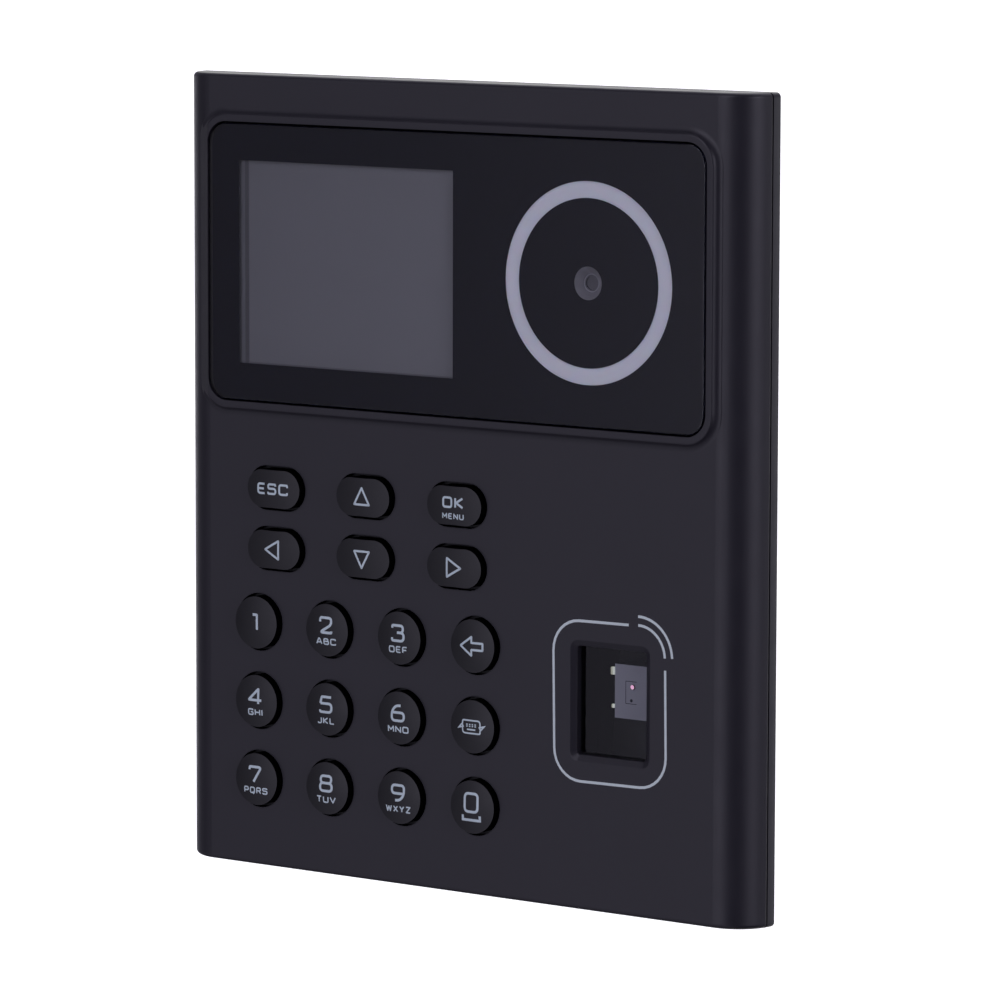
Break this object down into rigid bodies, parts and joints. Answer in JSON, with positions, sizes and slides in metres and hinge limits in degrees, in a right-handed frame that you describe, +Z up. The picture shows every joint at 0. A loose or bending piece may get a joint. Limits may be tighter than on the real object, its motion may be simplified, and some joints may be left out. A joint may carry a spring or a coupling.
{
  "type": "fingerprint scanner terminal",
  "caption": "Wall-mounted fingerprint terminal: shallow dark case with a glass display panel, a camera inside a light ring, a keypad and a recessed fingerprint window.",
  "frame": {"origin": "middle of the mounting plate's back face, on the wall plane, behind the middle of the case", "axes": "-Y out of the wall towards the person using it, +X to that person's right, +Z up"},
  "size_m": [0.1318, 0.0253, 0.15],
  "materials": {
    "shell": "fine moulded texture",
    "rear_shell": "fine moulded texture",
    "cover_glass": "polished",
    "glass_print": "screen printed ink",
    "tape": "foam tape",
    "steel": "plated",
    "screen": "unlit liquid crystal cell",
    "backlight": "white",
    "flex": "polyimide film",
    "bracket": "moulded",
    "diffuser": "milky",
    "circuit_board": "solder resist",
    "led": "clear",
    "camera_black": "moulded",
    "lens": "coated",
    "key": "satin",
    "key_mat": "silicone",
    "reader_glass": "polished",
    "reader_black": "moulded",
    "prism": "polished",
    "sensor_plate": "bead blasted",
    "cell": "nickel",
    "header": "nylon",
    "pins": "plated",
    "plunger": "acetal",
    "black_screw": "black zinc",
    "zinc_steel": "zinc plated"
  },
  "bodies": {
    "case": {"front_shell": "shell", "rear_shell": "rear_shell", "cover_glass": "cover_glass", "glass_print": "glass_print", "glass_tape": "tape", "lcd_frame": "steel", "lcd_panel": "screen", "lcd_backlight": "backlight", "lcd_flex": "flex", "display_bracket": "bracket", "light_ring": "diffuser", "ring_board": "circuit_board", "ring_leds": "led", "camera_holder": "camera_black", "camera_lens": "lens", "camera_board": "circuit_board", "camera_flex": "flex", "key_mat": "key_mat", "key_board": "circuit_board", "key_flex": "flex", "reader_window": "reader_glass", "reader_housing": "reader_black", "reader_prism": "prism", "reader_lamp": "sensor_plate", "reader_board": "circuit_board", "reader_flex": "flex", "main_board": "circuit_board", "processor_can": "steel", "cell_holder": "bracket", "clock_cell": "cell", "sounder": "camera_black", "network_header": "header", "power_header": "header", "header_pins": "pins", "tamper_switch": "bracket", "tamper_spring": "steel", "shell_screws": "black_screw", "inner_screws": "steel", "lock_screw": "steel", "mounting_plate": "zinc_steel"},
    "key_1": {"key_1": "key"},
    "key_2": {"key_2": "key"},
    "key_3": {"key_3": "key"},
    "key_back": {"key_back": "key"},
    "key_4": {"key_4": "key"},
    "key_5": {"key_5": "key"},
    "key_6": {"key_6": "key"},
    "key_input": {"key_input": "key"},
    "key_7": {"key_7": "key"},
    "key_8": {"key_8": "key"},
    "key_9": {"key_9": "key"},
    "key_0": {"key_0": "key"},
    "key_esc": {"key_esc": "key"},
    "key_up": {"key_up": "key"},
    "key_ok": {"key_ok": "key"},
    "key_left": {"key_left": "key"},
    "key_down": {"key_down": "key"},
    "key_right": {"key_right": "key"},
    "tamper_plunger": {"tamper_plunger": "plunger"}
  },
  "joints": [
    {"name": "key_1_press", "type": "slide", "parent": "case", "child": "key_1", "axis": [0, 1, 0], "range_m": [0, 0.0008], "stiffness_N_per_m": 60, "springref_m": -0.008, "deforming": ["key_mat"]},
    {"name": "key_2_press", "type": "slide", "parent": "case", "child": "key_2", "axis": [0, 1, 0], "range_m": [0, 0.0008], "stiffness_N_per_m": 60, "springref_m": -0.008, "deforming": ["key_mat"]},
    {"name": "key_3_press", "type": "slide", "parent": "case", "child": "key_3", "axis": [0, 1, 0], "range_m": [0, 0.0008], "stiffness_N_per_m": 60, "springref_m": -0.008, "deforming": ["key_mat"]},
    {"name": "key_back_press", "type": "slide", "parent": "case", "child": "key_back", "axis": [0, 1, 0], "range_m": [0, 0.0008], "stiffness_N_per_m": 60, "springref_m": -0.008, "deforming": ["key_mat"]},
    {"name": "key_4_press", "type": "slide", "parent": "case", "child": "key_4", "axis": [0, 1, 0], "range_m": [0, 0.0008], "stiffness_N_per_m": 60, "springref_m": -0.008, "deforming": ["key_mat"]},
    {"name": "key_5_press", "type": "slide", "parent": "case", "child": "key_5", "axis": [0, 1, 0], "range_m": [0, 0.0008], "stiffness_N_per_m": 60, "springref_m": -0.008, "deforming": ["key_mat"]},
    {"name": "key_6_press", "type": "slide", "parent": "case", "child": "key_6", "axis": [0, 1, 0], "range_m": [0, 0.0008], "stiffness_N_per_m": 60, "springref_m": -0.008, "deforming": ["key_mat"]},
    {"name": "key_input_press", "type": "slide", "parent": "case", "child": "key_input", "axis": [0, 1, 0], "range_m": [0, 0.0008], "stiffness_N_per_m": 60, "springref_m": -0.008, "deforming": ["key_mat"]},
    {"name": "key_7_press", "type": "slide", "parent": "case", "child": "key_7", "axis": [0, 1, 0], "range_m": [0, 0.0008], "stiffness_N_per_m": 60, "springref_m": -0.008, "deforming": ["key_mat"]},
    {"name": "key_8_press", "type": "slide", "parent": "case", "child": "key_8", "axis": [0, 1, 0], "range_m": [0, 0.0008], "stiffness_N_per_m": 60, "springref_m": -0.008, "deforming": ["key_mat"]},
    {"name": "key_9_press", "type": "slide", "parent": "case", "child": "key_9", "axis": [0, 1, 0], "range_m": [0, 0.0008], "stiffness_N_per_m": 60, "springref_m": -0.008, "deforming": ["key_mat"]},
    {"name": "key_0_press", "type": "slide", "parent": "case", "child": "key_0", "axis": [0, 1, 0], "range_m": [0, 0.0008], "stiffness_N_per_m": 60, "springref_m": -0.008, "deforming": ["key_mat"]},
    {"name": "key_esc_press", "type": "slide", "parent": "case", "child": "key_esc", "axis": [0, 1, 0], "range_m": [0, 0.0008], "stiffness_N_per_m": 60, "springref_m": -0.008, "deforming": ["key_mat"]},
    {"name": "key_up_press", "type": "slide", "parent": "case", "child": "key_up", "axis": [0, 1, 0], "range_m": [0, 0.0008], "stiffness_N_per_m": 60, "springref_m": -0.008, "deforming": ["key_mat"]},
    {"name": "key_ok_press", "type": "slide", "parent": "case", "child": "key_ok", "axis": [0, 1, 0], "range_m": [0, 0.0008], "stiffness_N_per_m": 60, "springref_m": -0.008, "deforming": ["key_mat"]},
    {"name": "key_left_press", "type": "slide", "parent": "case", "child": "key_left", "axis": [0, 1, 0], "range_m": [0, 0.0008], "stiffness_N_per_m": 60, "springref_m": -0.008, "deforming": ["key_mat"]},
    {"name": "key_down_press", "type": "slide", "parent": "case", "child": "key_down", "axis": [0, 1, 0], "range_m": [0, 0.0008], "stiffness_N_per_m": 60, "springref_m": -0.008, "deforming": ["key_mat"]},
    {"name": "key_right_press", "type": "slide", "parent": "case", "child": "key_right", "axis": [0, 1, 0], "range_m": [0, 0.0008], "stiffness_N_per_m": 60, "springref_m": -0.008, "deforming": ["key_mat"]},
    {"name": "tamper_press", "type": "slide", "parent": "case", "child": "tamper_plunger", "axis": [0, -1, 0], "range_m": [0, 0.001], "stiffness_N_per_m": 60, "springref_m": -0.008, "deforming": ["tamper_spring"]}
  ]
}
